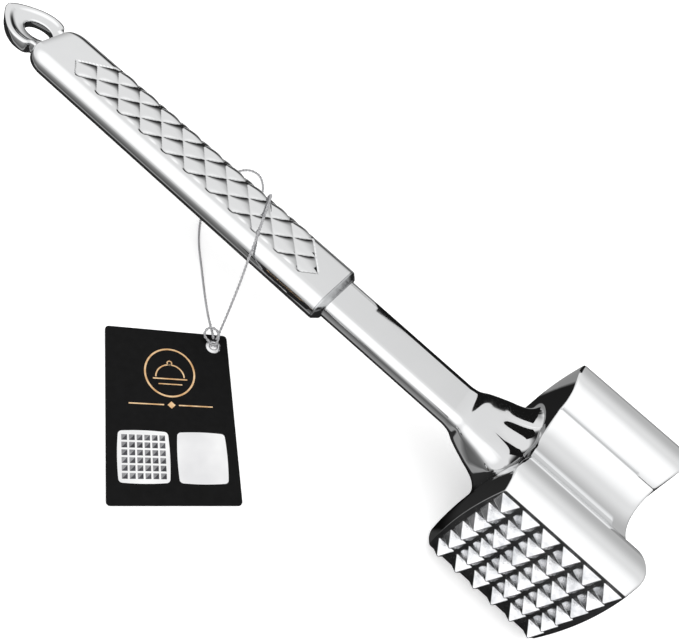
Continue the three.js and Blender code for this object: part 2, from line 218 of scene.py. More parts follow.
class Nodes:
    """A material's node tree, with short calls for the nodes that the looks here are made of."""

    def __init__(self, name, **shader):
        self.material = bpy.data.materials.new(name)
        self.material.use_nodes = True
        self.tree = self.material.node_tree
        self.shader = self.tree.nodes["Principled BSDF"]
        for key, value in shader.items():
            self.shader.inputs[key.replace("_", " ")].default_value = value
        place = self.tree.nodes.new("ShaderNodeTexCoord")
        self.place = place.outputs["Object"]

    def link(self, source, target):
        self.tree.links.new(source, target)

    def noise(self, scale, detail=3.0, stretch=None, roughness=0.5):
        node = self.tree.nodes.new("ShaderNodeTexNoise")
        node.inputs["Scale"].default_value = scale
        node.inputs["Detail"].default_value = detail
        node.inputs["Roughness"].default_value = roughness
        source = self.place
        if stretch is not None:
            mapping = self.tree.nodes.new("ShaderNodeMapping")
            mapping.inputs["Scale"].default_value = stretch
            self.link(self.place, mapping.inputs["Vector"])
            source = mapping.outputs["Vector"]
        self.link(source, node.inputs["Vector"])
        return node.outputs["Fac"]

    def ramp(self, source, stops):
        """A colour ramp: stops are (place, colour or grey)."""
        node = self.tree.nodes.new("ShaderNodeValToRGB")
        elements = node.color_ramp.elements
        while len(elements) < len(stops):
            elements.new(0.5)
        for element, (place, colour) in zip(elements, stops):
            element.position = place
            grey = not hasattr(colour, "__len__")
            element.color = (colour, colour, colour, 1.0) if grey else (*colour, 1.0)
        self.link(source, node.inputs["Fac"])
        return node.outputs["Color"]

    def bump(self, source, strength, distance):
        node = self.tree.nodes.new("ShaderNodeBump")
        node.inputs["Strength"].default_value = strength
        node.inputs["Distance"].default_value = distance
        self.link(source, node.inputs["Height"])
        return node.outputs["Normal"]


def chrome_material(name, colour, roughness, waviness):
    """Mirror-bright plate: faint cloudiness, fine polishing lines and a slow waviness."""
    look = Nodes(name, Metallic=1.0)
    cloud = look.noise(60.0)
    look.link(
        look.ramp(cloud, [(0.3, [c * 0.97 for c in colour]), (0.7, colour)]),
        look.shader.inputs["Base Color"],
    )
    fine = look.noise(900.0, 2.0, stretch=(0.15, 1.0, 1.0))
    look.link(
        look.ramp(fine, [(0.3, roughness * 0.8), (0.75, roughness * 1.5)]),
        look.shader.inputs["Roughness"],
    )
    slow = look.noise(45.0, 1.0)
    look.link(look.bump(slow, waviness, 0.001), look.shader.inputs["Normal"])
    return look.material


# ---- The casting: head, neck and shank ---------------------------------------------------------

EDGE_RADIUS = 0.8
RIM_RADIUS = 0.5
PYRAMID_RIM_RADIUS = 0.2
SIDE_STEPS = 24
END_STEPS = 40
ARC_STEPS = 6
CAP_RINGS = 14
FILLET_RINGS = 22
FILLET_REACH = (9.5, 4.8)             # how far the neck's fillet reaches along Y and Z
FILLET_LEAN = (2.7, 2.4)              # how far the neck leans out over the fillet's height
PYRAMID_BLUNT = 0.16
PYRAMID_TIP = (0.5, 0.42)
SHARP_ANGLE = math.radians(24)


def head_half_width(y):
    low = PYRAMID_BLOCK_Y + CREASE_OFFSET
    high = PLAIN_BLOCK_Y - CREASE_OFFSET
    if low < y < high:
        half_chord = (high - low) / 2
        crease = SIDE_ARC_Z + math.sqrt(SIDE_ARC_RADIUS ** 2 - CREASE_OFFSET ** 2)
        depth = crease - WAIST_HALF_WIDTH
        radius = (half_chord ** 2 + depth ** 2) / (2 * depth)
        return WAIST_HALF_WIDTH + radius - math.sqrt(radius ** 2 - (y - (low + high) / 2) ** 2)
    offset = y - (PYRAMID_BLOCK_Y if y < 0 else PLAIN_BLOCK_Y)
    return SIDE_ARC_Z + math.sqrt(SIDE_ARC_RADIUS ** 2 - offset ** 2)


HALF_LENGTH_LINE = through(HEAD_HALF_LENGTHS, 16)


def head_half_length(y):
    return float(np.interp(y, HALF_LENGTH_LINE[:, 0], HALF_LENGTH_LINE[:, 1]))


def end_bow(y, z):
    """How far an end of the head stands out at a point of it."""
    inner = head_half_width(y) - EDGE_RADIUS
    return head_half_length(y) + END_CROWN * (1 - min(1.0, abs(z) / inner) ** 2)


def head_stations():
    """Stations along Y, closer together near the creases and the rims."""
    low = PYRAMID_BLOCK_Y + CREASE_OFFSET
    high = PLAIN_BLOCK_Y - CREASE_OFFSET
    stations = []
    for start, end, steps in [
        (PYRAMID_FACE_Y + PYRAMID_RIM_RADIUS, low, 26),
        (low, high, 26),
        (high, PLAIN_FACE_Y - RIM_RADIUS, 26),
    ]:
        eased = (1 - np.cos(np.linspace(0, math.pi, steps + 1))) / 2
        stations += list(start + (end - start) * eased)[:-1]
    return stations + [PLAIN_FACE_Y - RIM_RADIUS]


def head_section(y, inset):
    """One closed section of the head at a station, drawn in by an inset.

    It starts at the near end of the +Z side and runs along that side, down the far end, back
    along the -Z side and up the near end.
    """
    width = head_half_width(min(max(y, PYRAMID_FACE_Y), PLAIN_FACE_Y)) - inset
    length = head_half_length(y) - inset
    radius = EDGE_RADIUS
    half = []
    for x in np.linspace(-length + radius, length - radius, SIDE_STEPS + 1):
        half.append((x, width))
    for step in range(1, ARC_STEPS):
        turn = math.pi / 2 * (1 - step / ARC_STEPS)
        half.append((length - radius + radius * math.cos(turn), width - radius + radius * math.sin(turn)))
    inner = width - radius
    for z in np.linspace(inner, -inner, END_STEPS + 1)[:-1]:
        half.append((length + END_CROWN * (1 - (z / inner) ** 2), z))
    for step in range(0, ARC_STEPS):
        turn = -math.pi / 2 * step / ARC_STEPS
        half.append((length - radius + radius * math.cos(turn), -width + radius + radius * math.sin(turn)))
    section = half + [(-x, -z) for x, z in half]
    return [(x, y, z) for x, z in section]


def pyramid_outline(middle_x, middle_z, size, cut):
    """An upright rectangle with its corners cut, as eight points that run round it."""
    points = []
    for sign_x, sign_z in [(1, 1), (-1, 1), (-1, -1), (1, -1)]:
        corner = np.array([sign_x * size[0] / 2, sign_z * size[1] / 2])
        first = corner - (sign_x * cut, 0) if sign_x * sign_z < 0 else corner - (0, sign_z * cut)
        second = corner - (0, sign_z * cut) if sign_x * sign_z < 0 else corner - (sign_x * cut, 0)
        points += [first, second]
    return [(middle_x + x, middle_z + z) for x, z in points]


def add_pyramid_face(points, faces, rim):
    """The pyramid face inside its rim: 36 pyramids with blunted edges, and the floor between them."""
    flat = [(points[i][0], points[i][2]) for i in rim]
    edges = [(i, (i + 1) % len(rim)) for i in range(len(rim))]
    numbers = list(rim)
    bases = []
    middle = (PYRAMID_ROWS - 1) / 2
    for row in range(PYRAMID_ROWS):
        for column in range(PYRAMID_ROWS):
            x = (column - middle) * PYRAMID_PITCH
            z = (row - middle) * PYRAMID_PITCH
            first = len(flat)
            base = []
            for place in pyramid_outline(x, z, PYRAMID_BASE, PYRAMID_BLUNT):
                base.append(len(points))
                numbers.append(len(points))
                flat.append(place)
                points.append((place[0], PYRAMID_FACE_Y, place[1]))
            edges += [(first + i, first + (i + 1) % 8) for i in range(8)]
            tip = []
            for place in pyramid_outline(x, z, PYRAMID_TIP, PYRAMID_TIP[0] / 4):
                tip.append(len(points))
                points.append((place[0], PYRAMID_FACE_Y - PYRAMID_HEIGHT, place[1]))
            bases.append((x, z))
            faces += ring_faces(base, tip)
            faces.append(tuple(tip))
    _, _, triangles, origins, _, _ = delaunay_2d_cdt([Vector(p) for p in flat], edges, [], 0, 1e-6)
    for triangle in triangles:
        x, z = np.mean([flat[origins[i][0]] for i in triangle], axis=0)
        inside = any(
            abs(x - base_x) < PYRAMID_BASE[0] / 2 and abs(z - base_z) < PYRAMID_BASE[1] / 2
            for base_x, base_z in bases
        )
        if not inside:
            faces.append(tuple(numbers[origins[i][0]] for i in triangle))


def make_casting():
    points = []
    faces = []

    def add_ring(ring):
        first = len(points)
        points.extend(tuple(map(float, p)) for p in ring)
        return list(range(first, first + len(ring)))

    # Rings across the head, with a quarter round at each rim
    stations = head_stations()
    quarter = [math.pi / 2 * (1 - step / ARC_STEPS) for step in range(ARC_STEPS)]
    rings = []
    for turn in quarter:
        y = PYRAMID_FACE_Y + PYRAMID_RIM_RADIUS * (1 - math.sin(turn))
        rings.append(add_ring(head_section(y, PYRAMID_RIM_RADIUS * (1 - math.cos(turn)))))
    first_station = len(rings)
    rings += [add_ring(head_section(y, 0.0)) for y in stations]
    last_station = len(rings) - 1
    for turn in reversed(quarter):
        y = PLAIN_FACE_Y - RIM_RADIUS * (1 - math.sin(turn))
        rings.append(add_ring(head_section(y, RIM_RADIUS * (1 - math.cos(turn)))))

    # The near end, where the neck grows out, is left open between the stations
    count = len(rings[0])
    near_end = count - ARC_STEPS - END_STEPS
    near_start = count - ARC_STEPS
    for i in range(len(rings) - 1):
        between_stations = first_station <= i < last_station
        for j in range(count):
            if between_stations and near_end <= j < near_start:
                continue
            k = (j + 1) % count
            faces.append((rings[i][j], rings[i][k], rings[i + 1][k], rings[i + 1][j]))
    faces.append(tuple(rings[-1]))
    smooth_faces = len(faces)
    add_pyramid_face(points, faces, rings[0])
    rough_faces = len(faces)

    # The outline of that opening, and for each of its points a ray from the neck
    low_row = rings[first_station]
    high_row = rings[last_station]
    outline = low_row[near_end:near_start + 1]
    outline += [rings[i][near_start] for i in range(first_station + 1, last_station)]
    outline += high_row[near_end:near_start + 1][::-1]
    outline += [rings[i][near_end] for i in range(last_station - 1, first_station, -1)]
    side_z = abs(points[low_row[near_end]][2])
    angles = []
    for number in outline:
        x, y, z = points[number]
        on_rim = number in low_row or number in high_row
        angles.append(math.atan2(z if on_rim else math.copysign(side_z, z), y))
    border = np.array([points[number][1:] for number in outline])

    # Shank and neck sections
    sections = through(NECK_SECTIONS, 8)
    necks = []
    for x, half_width, half_height, corner in sections:
        places = [rounded_rect(half_width, half_height, corner, angle) for angle in angles]
        necks.append(add_ring([(x, y, z) for y, z in places]))
    faces.append(tuple(necks[0]))
    for first, second in zip(necks, necks[1:]):
        faces += ring_faces(first, second)

    # The fillet, and then the rest of the near end out to its outline
    start_x = sections[-1][0]
    start = np.array([points[number][1:] for number in necks[-1]])
    reach_y, reach_z = FILLET_REACH
    cosines = np.cos(angles)
    sines = np.sin(angles)
    spans = np.linalg.norm(border - start, axis=1)
    reach = np.minimum(1 / np.hypot(cosines / reach_y, sines / reach_z), 0.95 * spans)
    lean = np.hypot(cosines * FILLET_LEAN[0], sines * FILLET_LEAN[1])
    last = necks[-1]
    for step in range(1, FILLET_RINGS + 1):
        t = step / FILLET_RINGS
        share = (2 * t * (1 - t) * lean + t * t * reach) / spans
        places = start + (border - start) * share[:, None]
        blend = 1 - (1 - t) ** 2
        ring = add_ring([
            (start_x * (1 - blend) - end_bow(y, z) * blend, y, z) for y, z in places
        ])
        faces += ring_faces(last, ring)
        last = ring
    foot = np.array([points[number][1:] for number in last])
    for step in range(1, CAP_RINGS):
        share = step / CAP_RINGS
        places = foot + (border - foot) * share
        ring = add_ring([(-end_bow(y, z), y, z) for y, z in places])
        faces += ring_faces(last, ring)
        last = ring
    faces += ring_faces(last, outline)

    casting = new_piece("casting", points, faces)
    mesh = casting.data
    for face in mesh.polygons[smooth_faces:rough_faces]:
        face.use_smooth = False
        face.material_index = 1
    tidy_mesh(mesh)
    mesh.set_sharp_from_angle(angle=SHARP_ANGLE)
    return casting


# ---- The grip ----------------------------------------------------------------------------------

GRIP_STEP = 0.26
QUILT_START = -200.5
QUILT_CELLS = 11
QUILT_CROWN = 0.36                    # how far a pillow's middle stands above the plain metal
QUILT_DEPTH = 0.45                    # and how far its creases go below it
QUILT_PUFF = 0.5
QUILT_BORDER = 0.9                    # width over which the relief fades at its near and far borders
SHELL_WALL = 0.8


def grip_section(x):
    """Half width, half thickness and corner radius of the grip at a place along it."""
    share = (MOUTH_X - x) / (MOUTH_X - TAIL_X)
    into_tail = max(0.0, (TAIL_X + TAIL_ROUNDING - x) / TAIL_ROUNDING)
    closing = 1 - (1 - TAIL_END_SCALE) * (1 - math.sqrt(max(0.0, 1 - into_tail ** 2)))
    half_width, half_height = (
        closing * (mouth + (tail - mouth) * share) for mouth, tail in zip(GRIP_MOUTH, GRIP_TAIL)
    )
    return half_width, half_height, closing * GRIP_CORNER


def quilt_height(x, across):
    """Relief of the diamond pattern at a place along the grip and an arc length across it."""
    near, middle, far = QUILT_ACROSS
    along = (x - QUILT_START) / QUILT_PITCH
    shift = (across - middle) / (2 * QUILT_ROW)
    u = along - shift
    v = along + shift
    inside = (u > 0) & (u < QUILT_CELLS) & (v > -1) & (v < QUILT_CELLS - 1)
    inside &= (across > near) & (across < far)
    puff = (np.abs(np.sin(math.pi * u)) * np.abs(np.sin(math.pi * v))) ** QUILT_PUFF
    border = np.clip(np.minimum(across - near, far - across) / QUILT_BORDER, 0.0, 1.0)
    relief = (QUILT_CROWN + QUILT_DEPTH) * puff - QUILT_DEPTH
    return np.where(inside, relief * border, 0.0)


def half_section(half_width, half_height, corner, side):
    """Half of the grip's section as places, outward directions and arc lengths from its middle line."""
    flat_y = half_width - corner
    flat_z = half_height - corner
    across = list(np.linspace(0, flat_y, 34))
    arc = corner * math.pi / 2
    across += list(flat_y + np.linspace(0, arc, 15)[1:])
    across += list(flat_y + arc + np.linspace(0, flat_z, 4)[1:])
    places, directions = [], []
    for length in across:
        turn = min(max((length - flat_y) / corner, 0.0), math.pi / 2)
        down = max(0.0, length - flat_y - arc)
        places.append((
            min(length, flat_y) + corner * math.sin(turn),
            flat_z + corner * math.cos(turn) - down,
        ))
        directions.append((math.sin(turn), math.cos(turn)))
    places = np.array(places)
    directions = np.array(directions)
    both = np.vstack([places[::-1] * (-1, 1), places[1:]])
    ways = np.vstack([directions[::-1] * (-1, 1), directions[1:]])
    lengths = np.concatenate([-np.array(across[::-1]), across[1:]])
    return both * (1, side), ways * (1, side), lengths


def make_shell(name, side):
    """One pressed half of the grip. side is +1 for the upper half and -1 for the lower one."""
    stations = list(TAIL_X + TAIL_ROUNDING * (1 - np.cos(np.linspace(0, math.pi / 2, 10))))
    stations += list(np.arange(stations[-1] + GRIP_STEP, MOUTH_X - GRIP_STEP / 2, GRIP_STEP))
    stations.append(MOUTH_X)
    points, rings = [], []
    for x in stations:
        places, ways, lengths = half_section(*grip_section(x), side)
        relief = quilt_height(x, lengths)
        places = places + ways * relief[:, None]
        first = len(points)
        points += [(x, y, z) for y, z in places]
        rings.append(list(range(first, first + len(places))))
    faces = []
    for first, second in zip(rings, rings[1:]):
        faces += ring_faces(first, second, closed=False, flip=side > 0)
    # Turned-in edges close the shell's ends and its seam
    edge = rings[0] + [ring[-1] for ring in rings[1:-1]] + rings[-1][::-1]
    edge += [ring[0] for ring in rings[-2:0:-1]]
    inner = []
    for number in edge:
        x, y, z = points[number]
        half_width, half_height, _ = grip_section(x)
        inner.append(len(points))
        points.append((x, y * (1 - SHELL_WALL / half_width), z * (1 - SHELL_WALL / half_height)))
    faces += ring_faces(edge, inner, flip=side > 0)
    shell = new_piece(name, points, faces)
    shell.data.set_sharp_from_angle(angle=math.radians(50))
    return shell


# ---- Collar ------------------------------------------------------------------------------------

# Bevelled band: X past the grip's mouth, half width, half thickness, corner radius
COLLAR_SECTIONS = [
    (-0.3, 11.0, 4.5, 4.0), (0.0, 11.3, 4.85, 4.2), (0.15, 11.45, 4.97, 4.4), (0.45, 11.47, 4.99, 4.4),
    (0.7, 11.35, 4.93, 4.4), (2.15, 9.6, 4.62, 4.0), (2.35, 9.35, 4.5, 3.9), (2.4, 9.1, 4.3, 3.8),
    (2.3, 8.5, 4.1, 3.6), (1.0, 8.4, 4.0, 3.5),
]
COLLAR_STEPS = 160


def make_collar():
    points, faces, rings = [], [], []
    for along, half_width, half_height, corner in COLLAR_SECTIONS:
        first = len(points)
        for angle in np.linspace(0, 2 * math.pi, COLLAR_STEPS + 1)[:-1]:
            y, z = rounded_rect(half_width, half_height, corner, angle)
            points.append((MOUTH_X + along, y, z))
        rings.append(list(range(first, first + COLLAR_STEPS)))
    for first, second in zip(rings, rings[1:]):
        faces += ring_faces(first, second)
    collar = new_piece("collar", points, faces)
    collar.data.set_sharp_from_angle(angle=math.radians(60))
    return collar


# ---- Hanging loop ------------------------------------------------------------------------------

# Half of the outline, from the neck at the grip's tail round to the tip
LOOP_OUTLINE = [
    (-217.35, 6.6), (-219.0, 6.65), (-219.7, 7.0), (-220.3, 8.2), (-221.4, 8.85), (-223.5, 9.15),
    (-226.0, 8.95), (-229.5, 7.7), (-233.5, 5.0), (-236.3, 2.2), (LOOP_TIP_X, 0.0),
]
EYE_MIDDLE = -223.4
EYE_HALF = (5.2, 3.6)
# The loop's section: share of the way from the outline in to the eye, and height
LOOP_SECTION = [
    (0.0, 0.0), (0.0, 1.7), (0.03, 2.1), (0.10, 2.36), (0.20, 2.4), (0.30, 2.32), (0.38, 2.05),
    (0.46, 1.82), (0.60, 1.74), (0.90, 1.62), (0.97, 1.5), (1.0, 1.25), (1.0, 0.0),
]


def make_loop():
    half = through(LOOP_OUTLINE, 10)
    outline = np.vstack([half, half[-2::-1] * (1, -1)])
    neck_x, neck_y = LOOP_OUTLINE[0]
    closing = [(neck_x, y) for y in np.linspace(-neck_y, neck_y, 20)[1:-1]]
    outline = np.vstack([outline, closing])
    eye = []
    for x, y in outline:
        angle = math.atan2(y / EYE_HALF[1], (x - EYE_MIDDLE) / EYE_HALF[0])
        eye.append((EYE_MIDDLE + EYE_HALF[0] * math.cos(angle), EYE_HALF[1] * math.sin(angle)))
    eye = np.array(eye)
    points, faces, rings = [], [], []
    section = LOOP_SECTION + [(share, -height) for share, height in LOOP_SECTION[-2:0:-1]]
    for share, height in section:
        first = len(points)
        for (x, y) in outline + (eye - outline) * share:
            points.append((x, y, height))
        rings.append(list(range(first, first + len(outline))))
    for first, second in zip(rings, rings[1:] + rings[:1]):
        faces += ring_faces(first, second)
    loop = new_piece("loop", points, faces)
    tidy_mesh(loop.data)
    loop.data.set_sharp_from_angle(angle=math.radians(55))
    return loop


# ---- Tag ---------------------------------------------------------------------------------------

CARD_LEFT = EYELET_FROM_EDGES[0] - CARD[0]
CARD_RIGHT = EYELET_FROM_EDGES[0]
CARD_TOP = EYELET_FROM_EDGES[1]
CARD_BOTTOM = CARD_TOP - CARD[1]
CARD_EDGE = 0.08
CARD_HOLE = 1.75
PRINT_HEIGHT = 0.62
# The eyelet's section: radius, height above the surface
EYELET_PROFILE = [
    (1.2, 0.1), (1.2, 0.95), (1.35, 1.13), (1.6, 1.2), (1.95, 1.16), (2.25, 1.0), (2.45, 0.8),
    (2.5, 0.66), (1.7, 0.62), (1.7, 0.1),
]


def tag_points(points):
    """Points drawn with the eyelet at the origin and the card's top edge up, put where the tag lies."""
    turned = []
    for x, y, z in points:
        turned.append((
            EYELET[0] + x * math.cos(TAG_TURN) - y * math.sin(TAG_TURN),
            EYELET[1] + x * math.sin(TAG_TURN) + y * math.cos(TAG_TURN),
            SURFACE_Z + z,
        ))
    return turned


def rounded_outline(left, right, bottom, top, radius, steps=8):
    """A rectangle with round corners, as a list of places."""
    outline = []
    corners = [(right, top), (left, top), (left, bottom), (right, bottom)]
    for quarter, (x, y) in enumerate(corners):
        centre_x = x + (radius if x == left else -radius)
        centre_y = y + (radius if y == bottom else -radius)
        for step in range(steps + 1):
            angle = (quarter + step / steps) * math.pi / 2
            outline.append((centre_x + radius * math.cos(angle), centre_y + radius * math.sin(angle)))
    return outline


def make_card():
    points, faces, rings = [], [], []
    levels = [(CARD_EDGE, 0.0), (0.0, CARD_EDGE), (0.0, CARD[2] - CARD_EDGE), (CARD_EDGE, CARD[2])]
    for inset, height in levels:
        outline = rounded_outline(
            CARD_LEFT + inset, CARD_RIGHT - inset, CARD_BOTTOM + inset, CARD_TOP - inset, CARD[3],
        )
        first = len(points)
        points += [(x, y, height) for x, y in outline]
        rings.append(list(range(first, first + len(outline))))
    for first, second in zip(rings, rings[1:]):
        faces += ring_faces(first, second)
    hole_steps = 32
    holes = []
    for height in (0.0, CARD[2]):
        first = len(points)
        for step in range(hole_steps):
            angle = 2 * math.pi * step / hole_steps
            points.append((CARD_HOLE * math.cos(angle), CARD_HOLE * math.sin(angle), height))
        holes.append(list(range(first, first + hole_steps)))
    faces += ring_faces(holes[0], holes[1], flip=True)
    for ring, hole in ((rings[0], holes[0]), (rings[-1], holes[1])):
        numbers = ring + hole
        flat = [Vector(points[i][:2]) for i in numbers]
        edges = [(i, (i + 1) % len(ring)) for i in range(len(ring))]
        edges += [(len(ring) + i, len(ring) + (i + 1) % hole_steps) for i in range(hole_steps)]
        _, _, triangles, origins, _, _ = delaunay_2d_cdt(flat, edges, [], 0, 1e-6)
        for triangle in triangles:
            middle = sum((flat[origins[i][0]] for i in triangle), Vector((0, 0))) / len(triangle)
            if middle.length > CARD_HOLE - 0.05:
                faces.append(tuple(numbers[origins[i][0]] for i in triangle))
    card = new_piece("card", tag_points(points), faces, smooth=False)
    tidy_mesh(card.data)
    return card


def make_eyelet():
    points, faces, rings = [], [], []
    steps = 48
    for radius, height in EYELET_PROFILE:
        first = len(points)
        for step in range(steps):
            angle = 2 * math.pi * step / steps
            points.append((radius * math.cos(angle), radius * math.sin(angle), height))
        rings.append(list(range(first, first + steps)))
    for first, second in zip(rings, rings[1:] + rings[:1]):
        faces += ring_faces(first, second)
    eyelet = new_piece("eyelet", tag_points(points), faces)
    tidy_mesh(eyelet.data)
    eyelet.data.set_sharp_from_angle(angle=math.radians(50))
    return eyelet


def flat_print(name, outlines):
    """A printed mark: flat closed outlines, a hair above the card."""
    points, faces = [], []
    for outline in outlines:
        first = len(points)
        points += [(x, y, PRINT_HEIGHT) for x, y in outline]
        faces.append(tuple(range(first, len(points))))
    return new_piece(name, tag_points(points), faces, smooth=False)


def stroke(line, width):
    """The outlines of the short bars that draw a line of this width."""
    line = np.asarray(line, float)
    along = np.gradient(line, axis=0)
    along /= np.linalg.norm(along, axis=1)[:, None]
    side = np.stack([-along[:, 1], along[:, 0]], axis=1) * width / 2
    left, right = line + side, line - side
    return [
        [tuple(right[i]), tuple(right[i + 1]), tuple(left[i + 1]), tuple(left[i])]
        for i in range(len(line) - 1)
    ]


EMBLEM_MIDDLE = (-14.3, -10.5)
EMBLEM_RADIUS = 7.5
RULE_Y = -21.5
ICON_SIZE = (14.8, 16.2)
ICON_BOTTOM = -46.3
ICON_LEFTS = (-30.3, -13.4)
ICON_MARKS = 6


def circle(middle, radius, start=0.0, end=2 * math.pi, steps=72, squeeze=1.0):
    angles = np.linspace(start, end, steps + 1)
    return [
        (middle[0] + radius * math.cos(a), middle[1] + radius * squeeze * math.sin(a)) for a in angles
    ]


def make_emblem():
    """A plain ring with a covered dish in it, and a rule with a lozenge below."""
    x, y = EMBLEM_MIDDLE
    squeeze = 1.09
    lines = [
        (circle(EMBLEM_MIDDLE, EMBLEM_RADIUS, squeeze=squeeze), 0.55),
        (circle((x, y - 1.6), 4.3, 0.0, math.pi, 32), 0.42),
        ([(x - 5.2, y - 2.2), (x, y - 2.2), (x + 5.2, y - 2.2)], 0.42),
        (circle((x, y + 3.3), 0.7, steps=20), 0.36),
        ([(x - 3.6, y - 4.0), (x, y - 4.0), (x + 3.6, y - 4.0)], 0.36),
    ]
    for left, right in ((-12.5, -2.2), (2.2, 12.5)):
        lines.append(([(x + left, RULE_Y), (x + (left + right) / 2, RULE_Y), (x + right, RULE_Y)], 0.4))
    outlines = [bar for line, width in lines for bar in stroke(line, width)]
    outlines.append([(x + 1.2, RULE_Y), (x, RULE_Y + 1.2), (x - 1.2, RULE_Y), (x, RULE_Y - 1.2)])
    return flat_print("tag_emblem", outlines)


def pillow_outline(left, bottom, width, height, bulge, radius, steps=10):
    """A rectangle with round corners and sides that bow out a little."""
    outline = rounded_outline(left, left + width, bottom, bottom + height, radius, steps)
    middle = np.array([left + width / 2, bottom + height / 2])
    half = np.array([width / 2, height / 2])
    dense = []
    for (ax, ay), (bx, by) in zip(outline, outline[1:] + outline[:1]):
        pieces = max(1, int(math.hypot(bx - ax, by - ay) / 0.6))
        dense += [(ax + (bx - ax) * k / pieces, ay + (by - ay) * k / pieces) for k in range(pieces)]
    shaped = []
    for place in dense:
        share = (np.array(place) - middle) / half
        stand = bulge * (1 - share[::-1] ** 2)
        shaped.append(tuple(middle + share * (half + stand - bulge)))
    return shaped


def make_icons():
    """Two light squares: one with rows of small pyramids and one plain."""
    icons = []
    for name, left in zip(("tag_icon_points", "tag_icon_plain"), ICON_LEFTS):
        outline = pillow_outline(left, ICON_BOTTOM, *ICON_SIZE, 0.35, 1.0)
        icons.append(flat_print(name, [outline]))
    cell = (ICON_SIZE[0] - 1.9) / ICON_MARKS, (ICON_SIZE[1] - 2.2) / ICON_MARKS
    shades = {"tag_marks_light": [], "tag_marks_dark": []}
    for row in range(ICON_MARKS):
        for column in range(ICON_MARKS):
            low_x = ICON_LEFTS[0] + 0.95 + (column + 0.13) * cell[0]
            low_y = ICON_BOTTOM + 1.1 + (row + 0.13) * cell[1]
            high_x = low_x + 0.74 * cell[0]
            high_y = low_y + 0.74 * cell[1]
            shades["tag_marks_light"].append([(low_x, low_y), (high_x, high_y), (low_x, high_y)])
            shades["tag_marks_dark"].append([(low_x, low_y), (high_x, low_y), (high_x, high_y)])
    for name, outlines in shades.items():
        mark = flat_print(name, outlines)
        mark.data.transform(Matrix.Translation((0, 0, 0.02 * MM)))
        icons.append(mark)
    return icons


# ---- Cord --------------------------------------------------------------------------------------

STRAND_OFFSET = 0.17
STRAND_RADIUS = 0.28
TWIST_PITCH = 2.6


def twisted_tube(name, line, sides=14):
    """Two strands twisted together along a line of points in millimetres."""
    line = np.asarray(line, float)
    lengths = np.concatenate([[0], np.cumsum(np.linalg.norm(np.diff(line, axis=0), axis=1))])
    count = max(16, int(lengths[-1] / 0.22))
    spots = np.linspace(0, lengths[-1], count)
    line = np.stack([np.interp(spots, lengths, line[:, k]) for k in range(3)], axis=1)
    along = np.gradient(line, axis=0)
    along /= np.linalg.norm(along, axis=1)[:, None]
    side = np.cross(along[0], (0.0, 0.0, 1.0))
    points, rings = [], []
    for spot, place, way in zip(spots, line, along):
        side = side - way * (side @ way)
        side /= np.linalg.norm(side)
        up = np.cross(way, side)
        ring = []
        for step in range(sides):
            angle = 2 * math.pi * step / sides
            lobe = angle - 2 * math.pi * spot / TWIST_PITCH
            across = STRAND_OFFSET * math.sin(lobe)
            radius = STRAND_OFFSET * abs(math.cos(lobe)) + math.sqrt(STRAND_RADIUS ** 2 - across ** 2)
            ring.append(len(points))
            points.append(tuple(place + radius * (math.cos(angle) * side + math.sin(angle) * up)))
        rings.append(ring)
    faces = [tuple(rings[0]), tuple(rings[-1])]
    for first, second in zip(rings, rings[1:]):
        faces += ring_faces(first, second)
    tube = new_piece(name, points, faces)
    tidy_mesh(tube.data)
    return tube, line


# The hitch's bight, drawn as the tag is: out of the eyelet, over the strands and back into it
HITCH_ROUTE = [
    (-0.3, 0.2, 0.6), (-1.6, 1.4, 1.4), (-3.0, 2.9, 2.2), (-2.7, 4.4, 3.2), (-1.3, 4.9, 4.0),
    (0.4, 3.9, 4.2), (1.1, 2.3, 3.4), (0.9, 0.9, 1.8), (0.3, 0.1, 0.6),
]


def make_cord():
    route = [(x, y, SURFACE_Z + height) for x, y, height in CORD_ROUTE]
    return twisted_tube("cord", through(route, 12))


def make_hitch():
    hitch, _ = twisted_tube("cord_hitch", through(tag_points(HITCH_ROUTE), 12))
    return hitch


# ---- Materials of the pieces -------------------------------------------------------------------

def satin_material(name, colour, roughness):
    """Machined or plated steel with a fine grain."""
    look = Nodes(name, Metallic=1.0)
    grain = look.noise(700.0, 4.0)
    look.link(
        look.ramp(grain, [(0.3, [c * 0.9 for c in colour]), (0.7, colour)]),
        look.shader.inputs["Base Color"],
    )
    look.link(
        look.ramp(grain, [(0.3, roughness * 0.8), (0.7, roughness * 1.25)]),
        look.shader.inputs["Roughness"],
    )
    look.link(look.bump(grain, 0.15, 0.0002), look.shader.inputs["Normal"])
    return look.material


def pyramid_material():
    """Cast chrome that the polishing wheel doesn't reach: bright, with a fine sand grain."""
    look = Nodes("pyramid_chrome", Metallic=1.0)
    patches = look.noise(260.0, 4.0)
    look.link(
        look.ramp(patches, [(0.3, (0.6, 0.61, 0.63)), (0.68, (0.97, 0.97, 0.98))]),
        look.shader.inputs["Base Color"],
    )
    look.link(look.ramp(patches, [(0.3, 0.07), (0.7, 0.14)]), look.shader.inputs["Roughness"])
    grain = look.noise(1500.0, 5.0, roughness=0.7)
    look.link(look.bump(grain, 0.55, 0.0001), look.shader.inputs["Normal"])
    return look.material


def plastic_material():
    look = Nodes("moulded_plastic", Roughness=0.5)
    cloud = look.noise(300.0)
    look.link(
        look.ramp(cloud, [(0.3, (0.16, 0.165, 0.17)), (0.7, (0.2, 0.205, 0.21))]),
        look.shader.inputs["Base Color"],
    )
    look.link(look.bump(look.noise(1800.0), 0.2, 0.0001), look.shader.inputs["Normal"])
    return look.material


